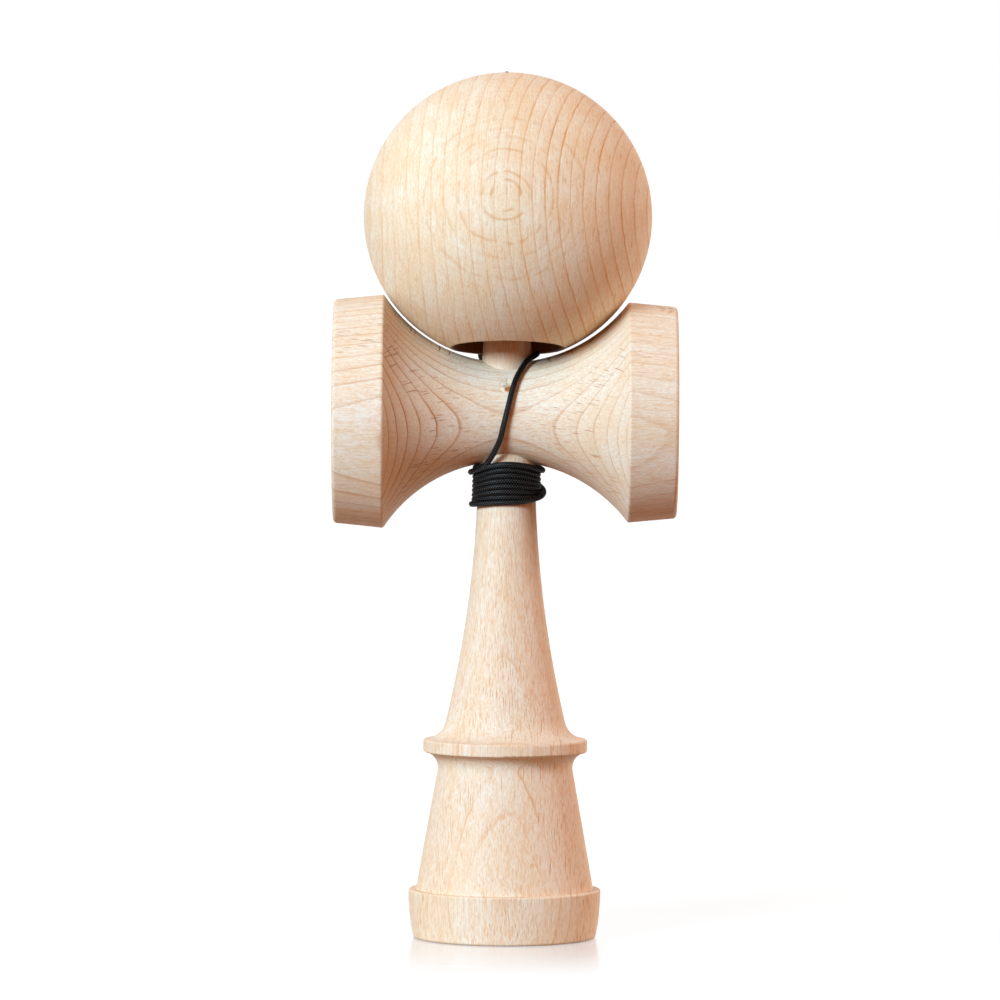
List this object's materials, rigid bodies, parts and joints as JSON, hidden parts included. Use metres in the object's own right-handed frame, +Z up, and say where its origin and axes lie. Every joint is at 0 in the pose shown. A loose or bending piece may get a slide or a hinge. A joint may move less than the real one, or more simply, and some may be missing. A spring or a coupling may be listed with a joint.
{
  "type": "cup and ball toy",
  "caption": "Turned wooden cup and ball toy: a handle with a spike and a base cup, a cross-piece with two cups, and a drilled ball on a wound string.",
  "frame": {"origin": "centre of the foot, on the surface that the toy stands on", "axes": "+Z up along the handle, +X along the cross-piece towards the small cup, -Y towards the front"},
  "size_m": [0.0715, 0.0617, 0.1811],
  "materials": {
    "handle_beech": "sanded, unpainted",
    "crosspiece_beech": "sanded, unpainted",
    "ball_beech": "sanded, unpainted",
    "bead_wood": "sanded",
    "braided_string": "braided nylon"
  },
  "bodies": {
    "handle_body": {"handle": "handle_beech", "cup_crosspiece": "crosspiece_beech", "anchor_knot": "braided_string", "string_anchor_tail": "braided_string", "string_winding": "braided_string", "string_lead": "braided_string"},
    "bead_body": {"stop_bead": "bead_wood", "bead_knot": "braided_string", "string_riser": "braided_string"},
    "ball_body": {"ball": "ball_beech"}
  },
  "joints": [
    {"name": "ball_lift", "type": "slide", "parent": "handle_body", "child": "bead_body", "axis": [0, 0, 1], "range_m": [0, 0.05], "deforming": ["string_riser"]},
    {"name": "ball_spin", "type": "hinge", "parent": "bead_body", "child": "ball_body", "pos_m": [0, 0, 0.15043], "axis": [0, 0.1478, 0.989], "continuous": true}
  ]
}
